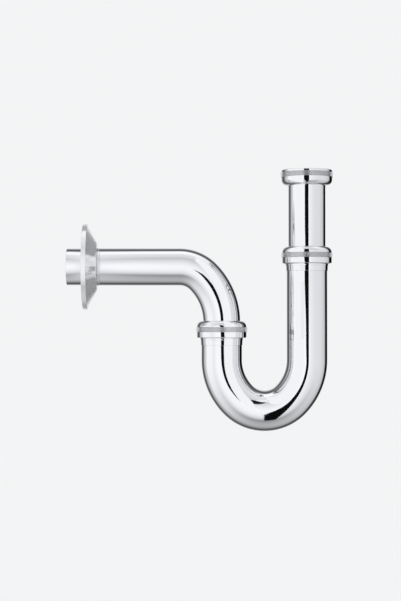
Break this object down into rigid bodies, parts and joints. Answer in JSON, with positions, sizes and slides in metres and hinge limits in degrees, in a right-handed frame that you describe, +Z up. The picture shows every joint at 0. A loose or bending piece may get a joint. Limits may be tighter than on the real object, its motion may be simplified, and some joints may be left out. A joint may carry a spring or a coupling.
{
  "type": "p trap",
  "caption": "Tubular P-trap for a wash basin: union inlet, deep U-bend with two slip joints, elbow with a straight wall tube and a dished wall flange.",
  "frame": {"origin": "centre of the union nut's mouth, where the basin waste screws in", "axes": "+Z up out of the union nut along the inlet tube, -X along the wall tube towards the wall, both legs in the XZ plane"},
  "size_m": [0.2278, 0.0734, 0.2234],
  "materials": {
    "chromed_brass": "polished",
    "black_rubber": "matte",
    "white_nylon": "satin"
  },
  "bodies": {
    "inlet_tube": {"inlet_tube": "chromed_brass", "inlet_flat_washer": "black_rubber"},
    "inlet_union_nut": {"inlet_union_nut": "chromed_brass"},
    "upper_cone_gasket": {"upper_cone_gasket": "black_rubber"},
    "trap_bend": {"trap_bend": "chromed_brass", "inlet_ferrule": "chromed_brass", "outlet_ferrule": "chromed_brass"},
    "upper_slip_ring": {"upper_slip_ring": "white_nylon"},
    "upper_slip_nut": {"upper_slip_nut": "chromed_brass"},
    "lower_cone_gasket": {"lower_cone_gasket": "black_rubber"},
    "outlet_bend": {"outlet_bend": "chromed_brass"},
    "lower_slip_ring": {"lower_slip_ring": "white_nylon"},
    "lower_slip_nut": {"lower_slip_nut": "chromed_brass"},
    "flange_grip_ring": {"flange_grip_ring": "black_rubber"},
    "wall_flange": {"wall_flange": "chromed_brass"}
  },
  "joints": [
    {"name": "union_nut_spin", "type": "hinge", "parent": "inlet_tube", "child": "inlet_union_nut", "pos_m": [0, 0, -0.00675], "axis": [0, 0, 1], "continuous": true},
    {"name": "height_slide", "type": "slide", "parent": "inlet_tube", "child": "upper_cone_gasket", "axis": [0, 0, 1], "range_m": [-0.02, 0.025]},
    {"name": "inlet_swivel", "type": "hinge", "parent": "upper_cone_gasket", "child": "trap_bend", "pos_m": [0, 0, -0.07099], "axis": [0, 0, 1], "continuous": true},
    {"name": "upper_ring_lift", "type": "slide", "parent": "trap_bend", "child": "upper_slip_ring", "axis": [0, 0, 1], "range_m": [0, 0.008]},
    {"name": "upper_nut_turn", "type": "hinge", "parent": "upper_slip_ring", "child": "upper_slip_nut", "pos_m": [0, 0, -0.07099], "axis": [0, 0, 1], "range_deg": [0, 1224]},
    {"name": "outlet_swivel", "type": "hinge", "parent": "trap_bend", "child": "lower_cone_gasket", "pos_m": [-0.073, 0, -0.13449], "axis": [0, 0, 1], "range_deg": [-115, 115]},
    {"name": "riser_slide", "type": "slide", "parent": "lower_cone_gasket", "child": "outlet_bend", "axis": [0, 0, 1], "range_m": [0, 0.01]},
    {"name": "lower_ring_lift", "type": "slide", "parent": "trap_bend", "child": "lower_slip_ring", "axis": [0, 0, 1], "range_m": [0, 0.008]},
    {"name": "lower_nut_turn", "type": "hinge", "parent": "lower_slip_ring", "child": "lower_slip_nut", "pos_m": [-0.073, 0, -0.13449], "axis": [0, 0, 1], "range_deg": [0, 540]},
    {"name": "flange_slide", "type": "slide", "parent": "outlet_bend", "child": "flange_grip_ring", "axis": [1, 0, 0], "range_m": [-0.014, 0.062]},
    {"name": "flange_spin", "type": "hinge", "parent": "flange_grip_ring", "child": "wall_flange", "pos_m": [-0.1914, 0, -0.08282], "axis": [1, 0, 0], "continuous": true}
  ],
  "couplings": [
    {"joint": "upper_ring_lift", "follows": "upper_nut_turn", "m_per_rad": 0.00036749},
    {"joint": "lower_ring_lift", "follows": "lower_nut_turn", "m_per_rad": 0.00036749}
  ]
}
